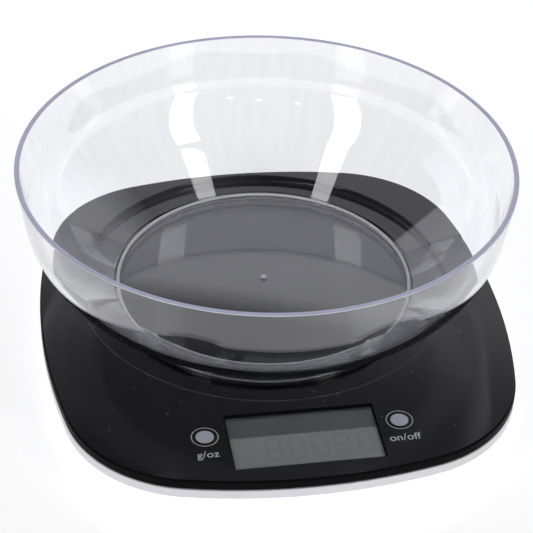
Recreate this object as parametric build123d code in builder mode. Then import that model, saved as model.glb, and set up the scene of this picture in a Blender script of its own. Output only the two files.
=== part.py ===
from build123d import *
from math import cos, radians, sin, sqrt, tan
import os

# Kitchen scale with a clear mixing bowl. A glossy black platform carries the display, the two
# keys and the bowl, and stands on one beam load cell inside a white base on four rubber feet.
# Millimetres, +Z up. The origin is on the floor, under the middle of the whole scale, and the
# display and the keys are at the -Y end.

os.makedirs("parts", exist_ok=True)

# ---------------------------------------------------------------- driving dimensions
# Outline of the platform and the base: a square with bowed sides and large corners.
body_half_width = 100.5
body_half_depth = 108.0
side_arc_radius = 282.0
end_arc_radius = 237.0
corner_radius = 56.0

# Heights. The body's own height is worked out below from what it has to hold.
foot_height = 2.0
travel = 0.6
travel_gap = 0.8

# Platform cover
cover_wall = 2.2
cover_skirt = 4.0
cover_edge_round = 0.9
recess_radius = 82.4
recess_depth = 3.2
recess_clearance = 0.3
recess_lip_round = 0.7
recess_floor_round = 1.4

# Bowl
rim_radius = 107.5
bowl_height = 67.0
bowl_wall = 2.3
bowl_floor = 2.0
bowl_offset = 22.5
cone_start_radius = 65.5
cone_start_height = 2.2
cone_slope = 38.5
wall_draft = 8.5
shoulder_radius = 40.0
rim_round = 0.6
foot_ring_radius = 67.8
foot_ring_width = 2.0
foot_ring_height = 2.5
foot_ring_round = 0.5
inner_floor_round = 1.5
gate_mark_radius = 1.3
gate_mark_height = 0.7

# Base
base_wall = 2.0
rim_wall = 2.2
band_height = 4.0
base_inset = 16.0
base_edge_round = 0.4
foot_radius = 7.0
foot_pocket = 0.8
foot_spread_x = 58.0
foot_spread_y = 65.0
foot_edge_round = 0.6

# Display
window_width = 60.6
window_depth = 31.0
window_margin = 9.9
window_bevel = 0.7
lens_thickness = 1.0
lens_lip = 2.0
lens_clearance = 0.1
lcd_lip = 1.6
lcd_thickness = 2.0
lcd_gap = 0.1
frame_wall = 1.2
frame_shelf = 1.2
frame_clearance = 0.15
zebra_depth = 2.2
zebra_margin = 1.0

# Keys and their switches
key_radius = 5.0
key_side_gap = 9.7
key_spread = window_width / 2 + key_side_gap
key_margin = 29.8
key_travel = 0.5
key_clearance = 0.12
key_flange_radius = 6.4
key_flange_thickness = 0.9
key_flange_gap = 0.05
key_edge_round = 0.15
switch_size = 6.0
switch_height = 2.2
switch_edge = 0.4
plunger_radius = 1.7
plunger_clearance = 0.05
plunger_guide = 0.6
plunger_float = 0.1

# Circuit board
board_side_margin = 16.2
board_width = window_width + 2 * board_side_margin
board_depth = 40.3
board_margin = 6.7
board_thickness = 1.6
board_drop = 4.0
board_corner = 9.0
board_screw_radius = 1.1
board_screw_head_radius = 2.2
board_screw_head_height = 1.5
board_screw_bite = 3.2
board_boss_wall = 1.3
front_screw_gap = 6.5
front_screw_x = window_width / 2 + front_screw_gap
front_screw_inset = 7.6
rear_screw_edge = 4.0
rear_screw_x = board_width / 2 - rear_screw_edge
rear_screw_inset = 6.0
chip_cover_radius = 6.5
chip_cover_height = 1.5
chip_cover_edge = 1.2
amplifier_length = 9.9
amplifier_width = 3.9
amplifier_height = 1.6
capacitor_radius = 2.5
capacitor_height = 5.4
capacitor_edge = 0.4
part_spread = 20.0

# Load cell and the carrier that joins it to the platform
cell_length = 60.0
cell_width = 12.7
cell_height = 8.0
cell_bore_radius = 3.1
cell_bore_spread = 5.5
cell_slot = 1.6
cell_screw_near = 15.0
cell_screw_far = 24.0
cell_screw_radius = 2.0
cell_thread_clearance = 0.05
cell_screw_head_radius = 3.6
cell_screw_head_height = 1.8
cell_screw_length = 8.4
screw_clearance = 0.2
cell_boss_height = 1.5
cell_boss_margin = 1.2
cell_screw_recess = 0.2
cell_headroom = 0.8
spacer_thickness = 1.0
carrier_thickness = 1.5
carrier_half_width = 60.0
carrier_half_depth = 28.0
carrier_corner = 8.0
carrier_window_radius = 10.0
carrier_hole_radius = 7.0
carrier_hole_x = 29.0
carrier_hole_y = 15.0
carrier_screw_x = 52.0
carrier_screw_y = 20.0
carrier_screw_radius = 1.5
carrier_screw_head_radius = 3.0
carrier_screw_head_height = 1.6
carrier_boss_radius = 4.0
carrier_screw_bite = 3.8
coating_length = 17.0
coating_thickness = 0.4
stop_x = 43.5
stop_radius = 4.0
stop_margin = 0.05

# Batteries, their bay and its door
battery_radius = 5.25
battery_length = 44.5
battery_nub_radius = 1.9
battery_nub_height = 1.0
battery_edge_round = 0.5
battery_gap = 0.7
battery_spread = battery_radius + battery_gap / 2
battery_side_clearance = 0.75
battery_drop = 0.3
battery_headroom = 0.6
spring_length = 7.2
spring_wire = 0.35
spring_turns = 4.5
spring_radius = 3.2
spring_tip_radius = 1.9
contact_thickness = 0.4
contact_width = 8.6
contact_height = 8.6
contact_tab_width = 2.4
contact_tab_rise = 2.9
contact_tab_reach = 1.6
tab_clearance = 0.1
bay_gap = 1.9
bay_wall = 3.0
bay_roof = 1.5
bay_headroom = 1.9
door_thickness = 1.8
door_lip = 2.25
door_clearance = 0.2
door_pin_radius = 0.6
door_pin_length = 1.5
pin_clearance = 0.05
grip_radius = 9.0
grip_depth = 0.5
grip_reach = 3.0
grip_rib_width = 0.8
grip_rib_height = 0.35
grip_rib_pitch = 2.4
grip_rib_count = 4

# Leads
lead_radius = 0.6
lead_bend = 3.0
lead_lane = 2.2
lead_first_x = 35.5
lead_lift = 1.0
signal_lead_radius = 0.4
signal_lead_pitch = 1.4
signal_lead_count = 4
lead_board_inset = 4.0

# ---------------------------------------------------------------- places worked out from them
length_behind = max(bowl_offset + rim_radius, body_half_depth)
body_y = (body_half_depth - length_behind) / 2
bowl_y = body_y + bowl_offset
front_y = body_y - body_half_depth

cell_stack = base_wall + cell_boss_height + cell_height + spacer_thickness
cell_stack += carrier_thickness + cell_screw_head_height + cell_headroom
bay_stack = door_thickness + battery_drop + 2 * battery_radius + battery_headroom
bay_stack += bay_roof + bay_headroom
body_height = max(cell_stack, bay_stack) + recess_depth + cover_wall
platform_z = foot_height + body_height
cover_under_z = platform_z - cover_wall
skirt_z = platform_z - cover_skirt
seat_z = platform_z - recess_depth
recess_under_z = seat_z - cover_wall
rim_z = skirt_z - travel_gap
taper_z = rim_z - band_height
floor_z = foot_height + base_wall

window_y = front_y + window_margin + window_depth / 2
lens_top_z = cover_under_z + lens_thickness
lcd_top_z = cover_under_z - lcd_gap
lcd_under_z = lcd_top_z - lcd_thickness
board_top_z = cover_under_z - board_drop
board_under_z = board_top_z - board_thickness
board_front_y = front_y + board_margin
board_y = board_front_y + board_depth / 2
board_back_y = board_front_y + board_depth
key_y = front_y + key_margin
flange_top_z = cover_under_z - key_flange_gap
flange_under_z = flange_top_z - key_flange_thickness
switch_top_z = board_top_z + switch_height

cell_under_z = floor_z + cell_boss_height
cell_top_z = cell_under_z + cell_height
carrier_under_z = cell_top_z + spacer_thickness
carrier_top_z = carrier_under_z + carrier_thickness
stop_top_z = carrier_under_z - travel - stop_margin

bay_half_length = (battery_length + spring_length) / 2 + contact_thickness
bay_half_width = battery_spread + battery_radius + battery_side_clearance
bay_offset = bowl_offset + carrier_half_depth + bay_gap + bay_wall + bay_half_width
bay_y = body_y + bay_offset
door_top_z = foot_height + door_thickness
battery_z = door_top_z + battery_drop + battery_radius
bay_top_z = battery_z + battery_radius + battery_headroom
door_half_length = bay_half_length + door_lip
door_front_y = bay_y - bay_half_width - door_lip / 2
door_back_y = bay_y + bay_half_width + door_lip / 2
door_pin_z = foot_height + door_thickness / 2
contact_x = bay_half_length - contact_thickness
tab_z = battery_z + contact_tab_rise

bowl_axis = Axis((0, bowl_y, 0), (0, 0, 1))
bowl_plane = Plane.XZ.offset(-bowl_y)
mirrored = ((-1, "unit"), (1, "on"))


# ---------------------------------------------------------------- shared shapes
def finish(piece, name):
    """Labels one finished piece and writes it to its own file."""
    piece.part.label = name
    export_step(piece.part, f"parts/{name}.step")


def corner_centre():
    """Centre of the rear right corner arc, which is tangent to the side arc and the rear arc."""
    side_shift = side_arc_radius - body_half_width
    end_shift = end_arc_radius - body_half_depth
    to_side = side_arc_radius - corner_radius
    to_end = end_arc_radius - corner_radius
    slope = end_shift / side_shift
    square_gap = to_side**2 - to_end**2 - side_shift**2 + end_shift**2
    start = square_gap / (2 * side_shift) + side_shift
    a = slope**2 + 1
    b = slope * start
    c = start**2 - to_side**2
    y = (sqrt(b**2 - a * c) - b) / a
    return start - side_shift + slope * y, y


def body_outline(inset):
    """The platform's outline of eight tangent arcs, drawn `inset` inside its edge."""
    x, y = corner_centre()
    side_x = body_half_width - side_arc_radius
    end_y = body_half_depth - end_arc_radius
    side_turn = Vector(1, 0, 0).get_angle(Vector(x - side_x, y, 0))
    end_turn = Vector(1, 0, 0).get_angle(Vector(x, y - end_y, 0))
    corner = corner_radius - inset
    with BuildSketch() as outline:
        with BuildLine():
            for side, half_turn in ((1, 0), (-1, 180)):
                bow = side_arc_radius - inset
                CenterArc((side * side_x, body_y), bow, half_turn - side_turn, 2 * side_turn)
                corner_y = body_y + side * y
                sweep = end_turn - side_turn
                CenterArc((side * x, corner_y), corner, half_turn + side_turn, sweep)
                end_bow = end_arc_radius - inset
                rear_turn = 180 - 2 * end_turn
                CenterArc((0, body_y + side * end_y), end_bow, half_turn + end_turn, rear_turn)
                CenterArc((-side * x, corner_y), corner, half_turn + 180 - end_turn, sweep)
        make_face()
    return outline.sketch


def bowl_half_section(inset, bottom):
    """Half section inside the bowl's outer face by `inset`, from `bottom` up to the rim."""
    top = seat_z + bowl_height
    draft = radians(wall_draft)
    slope = radians(cone_slope)
    cone_z = seat_z + cone_start_height
    cone_r = cone_start_radius - inset / sin(slope)
    wall_r = rim_radius - inset / cos(draft)
    knee_z = wall_r - cone_r - top * tan(draft) + cone_z / tan(slope)
    knee_z = knee_z / (1 / tan(slope) - tan(draft))
    knee = (wall_r - (top - knee_z) * tan(draft), knee_z)
    foot_r = cone_r + (bottom - cone_z) / tan(slope)
    with BuildSketch() as section:
        with BuildLine():
            Polyline((0, bottom), (foot_r, bottom), knee, (wall_r, top), (0, top), close=True)
        make_face()
        corner = section.vertices().sort_by_distance((*knee, 0))[0]
        fillet(corner, radius=shoulder_radius - inset)
    return section.sketch


# ---------------------------------------------------------------- bowl
# Clear moulded bowl: a flat floor on a foot ring, a cone, a round shoulder and a steep wall.
with BuildPart() as bowl:
    with BuildSketch(bowl_plane):
        add(bowl_half_section(0, seat_z + foot_ring_height))
    revolve(axis=bowl_axis)
    with BuildSketch(bowl_plane):
        add(bowl_half_section(bowl_wall, seat_z + foot_ring_height + bowl_floor))
    revolve(axis=bowl_axis, mode=Mode.SUBTRACT)
    with BuildSketch(Plane.XY.offset(seat_z)):
        with Locations((0, bowl_y)):
            Circle(foot_ring_radius)
            Circle(foot_ring_radius - foot_ring_width, mode=Mode.SUBTRACT)
    extrude(amount=foot_ring_height + bowl_floor / 2)
    rim_edges = bowl.edges().filter_by(GeomType.CIRCLE).group_by(Axis.Z)[-1]
    fillet(rim_edges, radius=rim_round)
    ring_edges = bowl.edges().filter_by(GeomType.CIRCLE).group_by(Axis.Z)[0]
    fillet(ring_edges, radius=foot_ring_round)
    inner_floor = bowl.faces().filter_by(Axis.Z).filter_by(GeomType.PLANE)
    inner_floor = inner_floor.sort_by_distance((0, bowl_y, seat_z + foot_ring_height + bowl_floor))[0]
    fillet(inner_floor.edges(), radius=inner_floor_round)
    with BuildSketch(Plane.XY.offset(seat_z + foot_ring_height + bowl_floor)):
        with Locations((0, bowl_y)):
            Circle(gate_mark_radius)
    extrude(amount=gate_mark_height)
    gate_edge = bowl.edges().filter_by(GeomType.CIRCLE)
    gate_edge = gate_edge.filter_by(lambda e: abs(e.radius - gate_mark_radius) < gate_mark_height / 10)
    fillet(gate_edge.sort_by(Axis.Z)[-1], radius=gate_mark_height * 0.8)
finish(bowl, "bowl")

# ---------------------------------------------------------------- platform cover
# One glossy moulding: top plate with a shallow round seat for the bowl, a short skirt, the
# display window, the two key holes and the bosses for the board and the carrier plate.
board_screws_at = [
    (side * x, y)
    for side in (-1, 1)
    for x, y in (
        (front_screw_x, board_front_y + front_screw_inset),
        (rear_screw_x, board_back_y - rear_screw_inset),
    )
]
carrier_screws_at = [
    (x, bowl_y + y)
    for x in (-carrier_screw_x, carrier_screw_x)
    for y in (-carrier_screw_y, carrier_screw_y)
]
lens_width = window_width + 2 * lens_lip
lens_depth = window_depth + 2 * lens_lip

with BuildPart() as platform_cover:
    with BuildSketch(Plane.XY.offset(skirt_z)):
        add(body_outline(0))
    extrude(amount=cover_skirt)
    fillet(platform_cover.edges().group_by(Axis.Z)[-1], radius=cover_edge_round)
    with BuildSketch(Plane.XY.offset(skirt_z)):
        add(body_outline(cover_wall))
    extrude(amount=cover_under_z - skirt_z, mode=Mode.SUBTRACT)
    with BuildSketch(Plane.XY.offset(recess_under_z)):
        with Locations((0, bowl_y)):
            Circle(recess_radius + cover_wall)
    extrude(amount=cover_under_z - recess_under_z)
    with BuildSketch(Plane.XY.offset(seat_z)):
        with Locations((0, bowl_y)):
            Circle(recess_radius)
    extrude(amount=recess_depth, mode=Mode.SUBTRACT)
    seat_edges = platform_cover.edges().filter_by(GeomType.CIRCLE)
    seat_edges = seat_edges.filter_by(lambda e: abs(e.radius - recess_radius) < recess_lip_round / 10)
    fillet(seat_edges.sort_by(Axis.Z)[-1], radius=recess_lip_round)
    fillet(seat_edges.sort_by(Axis.Z)[0], radius=recess_floor_round)
    with BuildSketch(Plane.XY.offset(lens_top_z)):
        with Locations((0, window_y)):
            Rectangle(window_width, window_depth)
    extrude(amount=platform_z - lens_top_z, mode=Mode.SUBTRACT)
    with BuildSketch(Plane.XY.offset(cover_under_z)):
        with Locations((0, window_y)):
            Rectangle(lens_width + 2 * lens_clearance, lens_depth + 2 * lens_clearance)
    extrude(amount=lens_thickness, mode=Mode.SUBTRACT)
    window_edges = platform_cover.edges().filter_by(GeomType.LINE).group_by(Axis.Z)[-1]
    chamfer(window_edges, length=window_bevel)
    with BuildSketch(Plane.XY.offset(cover_under_z)):
        with Locations((-key_spread, key_y), (key_spread, key_y)):
            Circle(key_radius + key_clearance)
    extrude(amount=cover_wall, mode=Mode.SUBTRACT)
    with BuildSketch(Plane.XY.offset(board_top_z)):
        with Locations(*board_screws_at):
            Circle(board_screw_radius + board_boss_wall)
    extrude(amount=board_drop)
    with BuildSketch(Plane.XY.offset(board_top_z)):
        with Locations(*board_screws_at):
            Circle(board_screw_radius)
    extrude(amount=board_screw_bite, mode=Mode.SUBTRACT)
    with BuildSketch(Plane.XY.offset(carrier_top_z)):
        with Locations(*carrier_screws_at):
            Circle(carrier_boss_radius)
    extrude(amount=recess_under_z - carrier_top_z)
    with BuildSketch(Plane.XY.offset(carrier_top_z)):
        with Locations(*carrier_screws_at):
            Circle(carrier_screw_radius)
    extrude(amount=carrier_screw_bite, mode=Mode.SUBTRACT)
finish(platform_cover, "platform_cover")

# ---------------------------------------------------------------- display
# Clear lens glued into the pocket under the window.
with BuildPart() as display_lens:
    with BuildSketch(Plane.XY.offset(cover_under_z)):
        with Locations((0, window_y)):
            Rectangle(lens_width, lens_depth)
    extrude(amount=lens_thickness)
finish(display_lens, "display_lens")

# Liquid crystal panel, a glass sandwich that lies on the shelf of its frame.
lcd_width = window_width + 2 * lcd_lip
lcd_depth = window_depth + 2 * lcd_lip
with BuildPart() as lcd_panel:
    with BuildSketch(Plane.XY.offset(lcd_under_z)):
        with Locations((0, window_y)):
            Rectangle(lcd_width, lcd_depth)
    extrude(amount=lcd_thickness)
finish(lcd_panel, "lcd_panel")

# White frame that holds the panel above the board.
seat_width = lcd_width + 2 * frame_clearance
seat_depth = lcd_depth + 2 * frame_clearance
shelf_width = seat_width - 2 * frame_shelf
shelf_depth = seat_depth - 2 * frame_shelf
with BuildPart() as lcd_frame:
    with BuildSketch(Plane.XY.offset(board_top_z)):
        with Locations((0, window_y)):
            Rectangle(seat_width + 2 * frame_wall, seat_depth + 2 * frame_wall)
            Rectangle(shelf_width, shelf_depth, mode=Mode.SUBTRACT)
    extrude(amount=lcd_top_z - board_top_z)
    with BuildSketch(Plane.XY.offset(lcd_under_z)):
        with Locations((0, window_y)):
            Rectangle(seat_width, seat_depth)
    extrude(amount=lcd_thickness, mode=Mode.SUBTRACT)
finish(lcd_frame, "lcd_frame")

# Striped rubber connector pressed between the board and the panel's front edge.
with BuildPart() as zebra_strip:
    with BuildSketch(Plane.XY.offset(board_top_z)):
        with Locations((0, window_y - shelf_depth / 2 + zebra_depth / 2)):
            Rectangle(shelf_width - 2 * zebra_margin, zebra_depth)
    extrude(amount=lcd_under_z - board_top_z)
finish(zebra_strip, "zebra_strip")

# ---------------------------------------------------------------- circuit board
board_screw_length = board_thickness + board_screw_bite
with BuildPart() as circuit_board:
    with BuildSketch(Plane.XY.offset(board_under_z)) as board_sketch:
        with Locations((0, board_y)):
            Rectangle(board_width, board_depth)
        chamfer(board_sketch.vertices().group_by(Axis.Y)[0], length=board_corner)
        with Locations(*board_screws_at):
            Circle(board_screw_radius + screw_clearance, mode=Mode.SUBTRACT)
    extrude(amount=board_thickness)
finish(circuit_board, "circuit_board")

# Self-tapping screws driven from below into the cover's bosses.
with BuildPart() as board_screws:
    with BuildSketch(Plane.XY.offset(board_under_z)):
        with Locations(*board_screws_at):
            Circle(board_screw_head_radius)
    extrude(amount=-board_screw_head_height)
    with BuildSketch(Plane.XY.offset(board_under_z)):
        with Locations(*board_screws_at):
            Circle(board_screw_radius)
    extrude(amount=board_screw_length)
finish(board_screws, "board_screws")

# Black resin cap over the bonded controller chip, under the board.
with BuildPart() as chip_cover:
    with BuildSketch(Plane.XY.offset(board_under_z)):
        with Locations((0, board_y)):
            Circle(chip_cover_radius)
    extrude(amount=-chip_cover_height)
    fillet(chip_cover.edges().group_by(Axis.Z)[0], radius=chip_cover_edge)
finish(chip_cover, "chip_cover")

# Amplifier chip for the load cell, under the board.
with BuildPart() as amplifier_chip:
    with BuildSketch(Plane.XY.offset(board_under_z)):
        with Locations((-part_spread, board_y)):
            Rectangle(amplifier_length, amplifier_width)
    extrude(amount=-amplifier_height)
finish(amplifier_chip, "amplifier_chip")

# Can capacitor, under the board.
with BuildPart() as board_capacitor:
    with BuildSketch(Plane.XY.offset(board_under_z)):
        with Locations((part_spread, board_y)):
            Circle(capacitor_radius)
    extrude(amount=-capacitor_height)
    fillet(board_capacitor.edges().group_by(Axis.Z)[0], radius=capacitor_edge)
finish(board_capacitor, "board_capacitor")

# ---------------------------------------------------------------- keys and switches
# Each key is a flush round cap with a flange under the cover, on a small click switch.
for side, name in mirrored:
    with BuildPart() as button:
        with BuildSketch(Plane.XY.offset(flange_under_z)):
            with Locations((side * key_spread, key_y)):
                Circle(key_flange_radius)
        extrude(amount=key_flange_thickness)
        with BuildSketch(Plane.XY.offset(flange_top_z)):
            with Locations((side * key_spread, key_y)):
                Circle(key_radius)
        extrude(amount=platform_z - flange_top_z)
        fillet(button.edges().group_by(Axis.Z)[-1], radius=key_edge_round)
    finish(button, f"{name}_button")

    guide_depth = plunger_guide + key_travel + plunger_float
    with BuildPart() as switch_body:
        with BuildSketch(Plane.XY.offset(board_top_z)):
            with Locations((side * key_spread, key_y)):
                Rectangle(switch_size, switch_size)
        extrude(amount=switch_height)
        fillet(switch_body.edges().filter_by(Axis.Z), radius=switch_edge)
        with BuildSketch(Plane.XY.offset(switch_top_z)):
            with Locations((side * key_spread, key_y)):
                Circle(plunger_radius + plunger_clearance)
        extrude(amount=-guide_depth, mode=Mode.SUBTRACT)
    finish(switch_body, f"{name}_switch")

    with BuildPart() as plunger:
        with BuildSketch(Plane.XY.offset(switch_top_z - plunger_guide)):
            with Locations((side * key_spread, key_y)):
                Circle(plunger_radius)
        extrude(amount=flange_under_z - switch_top_z + plunger_guide)
    finish(plunger, f"{name}_plunger")

# ---------------------------------------------------------------- load cell and carrier
# Aluminium beam with a double bore at its middle. Its -X end is screwed to the base, and its
# +X end carries the platform.
fixed_screws_at = [(-cell_screw_near, bowl_y), (-cell_screw_far, bowl_y)]
moving_screws_at = [(cell_screw_near, bowl_y), (cell_screw_far, bowl_y)]
cell_side = Plane.XZ.offset(-bowl_y)
cell_mid_z = cell_under_z + cell_height / 2
with BuildPart() as load_cell:
    with BuildSketch(Plane.XY.offset(cell_under_z)):
        with Locations((0, bowl_y)):
            Rectangle(cell_length, cell_width)
        with Locations(*fixed_screws_at, *moving_screws_at):
            Circle(cell_screw_radius + cell_thread_clearance, mode=Mode.SUBTRACT)
    extrude(amount=cell_height)
    with BuildSketch(cell_side):
        with Locations((-cell_bore_spread, cell_mid_z), (cell_bore_spread, cell_mid_z)):
            Circle(cell_bore_radius)
        with Locations((0, cell_mid_z)):
            Rectangle(2 * cell_bore_spread, cell_slot)
    extrude(amount=cell_width, both=True, mode=Mode.SUBTRACT)
finish(load_cell, "load_cell")

# White silicone coats over the strain gauges, above and below the double bore.
with BuildPart() as gauge_coating:
    for face_z, outwards in ((cell_top_z, 1), (cell_under_z, -1)):
        with BuildSketch(Plane.XY.offset(face_z)):
            with Locations((0, bowl_y)):
                RectangleRounded(coating_length, cell_width, cell_width / 3)
        extrude(amount=outwards * coating_thickness)
finish(gauge_coating, "gauge_coating")

# Steel shim that lifts the carrier clear of the beam.
spacer_x = (cell_screw_near + cell_screw_far) / 2
spacer_length = cell_length - 2 * spacer_x
with BuildPart() as cell_spacer:
    with BuildSketch(Plane.XY.offset(cell_top_z)):
        with Locations((spacer_x, bowl_y)):
            Rectangle(spacer_length, cell_width)
        with Locations(*moving_screws_at):
            Circle(cell_screw_radius + screw_clearance, mode=Mode.SUBTRACT)
    extrude(amount=spacer_thickness)
finish(cell_spacer, "cell_spacer")

# Stamped steel carrier plate, screwed up into the cover.
carrier_holes_at = [
    (x, bowl_y + y)
    for x in (-carrier_hole_x, carrier_hole_x)
    for y in (-carrier_hole_y, carrier_hole_y)
]
with BuildPart() as carrier_plate:
    with BuildSketch(Plane.XY.offset(carrier_under_z)):
        with Locations((0, bowl_y)):
            RectangleRounded(2 * carrier_half_width, 2 * carrier_half_depth, carrier_corner)
            Circle(carrier_window_radius, mode=Mode.SUBTRACT)
        with Locations(*carrier_holes_at):
            Circle(carrier_hole_radius, mode=Mode.SUBTRACT)
        with Locations(*moving_screws_at):
            Circle(cell_screw_radius + screw_clearance, mode=Mode.SUBTRACT)
        with Locations(*carrier_screws_at):
            Circle(carrier_screw_radius + screw_clearance, mode=Mode.SUBTRACT)
    extrude(amount=carrier_thickness)
finish(carrier_plate, "carrier_plate")

# Self-tapping screws up through the carrier into the cover's bosses.
with BuildPart() as carrier_screws:
    with BuildSketch(Plane.XY.offset(carrier_under_z)):
        with Locations(*carrier_screws_at):
            Circle(carrier_screw_head_radius)
    extrude(amount=-carrier_screw_head_height)
    with BuildSketch(Plane.XY.offset(carrier_under_z)):
        with Locations(*carrier_screws_at):
            Circle(carrier_screw_radius)
    extrude(amount=carrier_thickness + carrier_screw_bite)
finish(carrier_screws, "carrier_screws")

# Machine screws down through the carrier and the shim into the beam's moving end.
with BuildPart() as cell_top_screws:
    with BuildSketch(Plane.XY.offset(carrier_top_z)):
        with Locations(*moving_screws_at):
            Circle(cell_screw_head_radius)
    extrude(amount=cell_screw_head_height)
    with BuildSketch(Plane.XY.offset(carrier_top_z)):
        with Locations(*moving_screws_at):
            Circle(cell_screw_radius)
    extrude(amount=-cell_screw_length)
finish(cell_top_screws, "cell_top_screws")

# Machine screws up through the base's boss into the beam's fixed end.
cell_head_z = foot_height + cell_screw_recess
with BuildPart() as cell_base_screws:
    with BuildSketch(Plane.XY.offset(cell_head_z)):
        with Locations(*fixed_screws_at):
            Circle(cell_screw_head_radius)
    extrude(amount=cell_screw_head_height)
    with BuildSketch(Plane.XY.offset(cell_head_z + cell_screw_head_height)):
        with Locations(*fixed_screws_at):
            Circle(cell_screw_radius)
    extrude(amount=cell_screw_length)
finish(cell_base_screws, "cell_base_screws")

# ---------------------------------------------------------------- base shell
# White moulded tray: an upright band under the platform's skirt, then sides that run in steeply
# to a smaller bottom, with the boss for the beam, four overload stops and the battery bay.
feet_at = {
    f"foot_{depth_name}_{side_name}": (side * foot_spread_x, body_y + depth * foot_spread_y)
    for depth, depth_name in ((-1, "front"), (1, "rear"))
    for side, side_name in ((-1, "left"), (1, "right"))
}
stops_at = [
    (x, bowl_y + y) for x in (-stop_x, stop_x) for y in (-carrier_screw_y, carrier_screw_y)
]
side_run = base_inset / (taper_z - foot_height)
inner_taper_z = taper_z + base_wall / 2
inner_inset = rim_wall + side_run * (inner_taper_z - floor_z)
boss_half_width = cell_width / 2 + cell_boss_margin
boss_inner_x = cell_screw_near - cell_screw_radius - cell_boss_margin
boss_length = cell_length / 2 + cell_boss_margin - boss_inner_x
bay_outer_length = 2 * (bay_half_length + bay_wall)
bay_outer_width = 2 * (bay_half_width + bay_wall)
door_depth = door_back_y - door_front_y
tab_slot_height = contact_thickness + 2 * tab_clearance
tab_slot_width = contact_tab_width + 2 * tab_clearance
battery_rows = (bay_y - battery_spread, bay_y + battery_spread)

with BuildPart() as base_shell:
    with BuildSketch(Plane.XY.offset(taper_z)):
        add(body_outline(0))
    extrude(amount=band_height)
    with BuildSketch(Plane.XY.offset(foot_height)):
        add(body_outline(base_inset))
    with BuildSketch(Plane.XY.offset(taper_z)):
        add(body_outline(0))
    loft(ruled=True)
    with BuildSketch(Plane.XY.offset(inner_taper_z)):
        add(body_outline(rim_wall))
    extrude(amount=rim_z - inner_taper_z, mode=Mode.SUBTRACT)
    with BuildSketch(Plane.XY.offset(floor_z)):
        add(body_outline(inner_inset))
    with BuildSketch(Plane.XY.offset(inner_taper_z)):
        add(body_outline(rim_wall))
    loft(ruled=True, mode=Mode.SUBTRACT)
    fillet(base_shell.edges().group_by(Axis.Z)[-1], radius=base_edge_round)
    with BuildSketch(Plane.XY.offset(recess_under_z - travel - recess_clearance)):
        with Locations((0, bowl_y)):
            Circle(recess_radius + cover_wall + recess_clearance)
    extrude(amount=cover_under_z - recess_under_z, mode=Mode.SUBTRACT)
    with BuildSketch(Plane.XY.offset(foot_height)):
        with Locations((-boss_inner_x - boss_length / 2, bowl_y)):
            Rectangle(boss_length, 2 * boss_half_width)
    extrude(amount=cell_under_z - foot_height)
    with BuildSketch(Plane.XY.offset(foot_height)):
        with Locations(*fixed_screws_at):
            Circle(cell_screw_head_radius + screw_clearance)
    extrude(amount=cell_screw_recess + cell_screw_head_height, mode=Mode.SUBTRACT)
    with BuildSketch(Plane.XY.offset(foot_height)):
        with Locations(*fixed_screws_at):
            Circle(cell_screw_radius + screw_clearance)
    extrude(amount=cell_under_z - foot_height, mode=Mode.SUBTRACT)
    with BuildSketch(Plane.XY.offset(floor_z)):
        with Locations(*stops_at):
            Circle(stop_radius)
    extrude(amount=stop_top_z - floor_z)
    with BuildSketch(Plane.XY.offset(floor_z)):
        with Locations((0, bay_y)):
            Rectangle(bay_outer_length, bay_outer_width)
    extrude(amount=bay_top_z + bay_roof - floor_z)
    with BuildSketch(Plane.XY.offset(foot_height)):
        with Locations((0, bay_y)):
            Rectangle(2 * bay_half_length, 2 * bay_half_width)
    extrude(amount=bay_top_z - foot_height, mode=Mode.SUBTRACT)
    with BuildSketch(Plane.XY.offset(foot_height)):
        with Locations((0, (door_front_y + door_back_y) / 2)):
            door_room = 2 * (door_half_length + door_clearance)
            Rectangle(door_room, door_depth + 2 * door_clearance)
    extrude(amount=base_wall, mode=Mode.SUBTRACT)
    with BuildSketch(Plane.YZ.offset(-door_half_length - door_pin_length - door_clearance)):
        with Locations((door_front_y + door_thickness / 2, door_pin_z)):
            Circle(door_pin_radius + pin_clearance)
    extrude(amount=2 * (door_half_length + door_pin_length + door_clearance), mode=Mode.SUBTRACT)
    with BuildSketch(Plane.XY.offset(foot_height)):
        with Locations((0, door_back_y + door_clearance)):
            Circle(grip_radius)
            with Locations((0, -grip_radius)):
                Rectangle(2 * grip_radius, 2 * grip_radius, mode=Mode.SUBTRACT)
    extrude(amount=grip_depth, mode=Mode.SUBTRACT)
    for row_y in battery_rows:
        with BuildSketch(Plane.YZ.offset(-bay_half_length - bay_wall)):
            with Locations((row_y, tab_z)):
                Rectangle(tab_slot_width, tab_slot_height)
        extrude(amount=bay_wall, mode=Mode.SUBTRACT)
    with BuildSketch(Plane.XY.offset(foot_height)):
        with Locations(*feet_at.values()):
            Circle(foot_radius)
    extrude(amount=foot_pocket, mode=Mode.SUBTRACT)
finish(base_shell, "base_shell")

# Rubber feet glued into their pockets.
for name, place in feet_at.items():
    with BuildPart() as foot:
        with BuildSketch():
            with Locations(place):
                Circle(foot_radius)
        extrude(amount=foot_height + foot_pocket)
        fillet(foot.edges().group_by(Axis.Z)[0], radius=foot_edge_round)
    finish(foot, name)

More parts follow.
